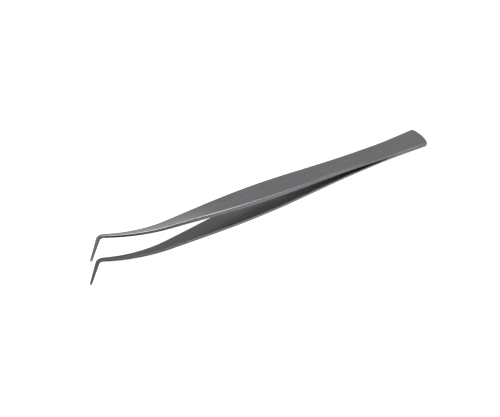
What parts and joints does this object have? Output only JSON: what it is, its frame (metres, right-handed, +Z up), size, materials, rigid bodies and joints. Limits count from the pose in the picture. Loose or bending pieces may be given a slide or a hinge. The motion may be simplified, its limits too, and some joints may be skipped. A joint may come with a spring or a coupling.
{
  "type": "bent-tip precision tweezers",
  "caption": "Slim sprung steel tweezers with a flared welded heel, a wide flat grip and long tapered arms that end in fine side-bent tips.",
  "frame": {"origin": "bottom centre of the box round the tweezers, as they lie open on a flat surface on the lower arm's belly and the heel's lower rim", "axes": "+X from the tips to the heel along the handle, +Z up, which is the way the arms open, and the tip legs turn towards -Y"},
  "size_m": [0.1514, 0.012, 0.0137],
  "materials": {
    "satin_steel": "fine satin ground along the arm, with brighter long edges",
    "weld_metal": "matt, as fused"
  },
  "bodies": {
    "heel": {"upper_heel": "satin_steel", "lower_heel": "satin_steel", "spot_weld_1": "weld_metal", "spot_weld_2": "weld_metal", "spot_weld_3": "weld_metal"},
    "upper_arm": {"upper_blade": "satin_steel"},
    "lower_arm": {"lower_blade": "satin_steel"}
  },
  "joints": [
    {"name": "upper_arm_flex", "type": "hinge", "parent": "heel", "child": "upper_arm", "pos_m": [0.04777, -0.00086, 0.00315], "axis": [0, -1, 0], "range_deg": [0, 2.45], "stiffness_Nm_per_rad": 3},
    {"name": "lower_arm_flex", "type": "hinge", "parent": "heel", "child": "lower_arm", "pos_m": [0.04768, -0.00086, 0.00105], "axis": [0, 1, 0], "range_deg": [0, 2.45], "stiffness_Nm_per_rad": 3}
  ]
}
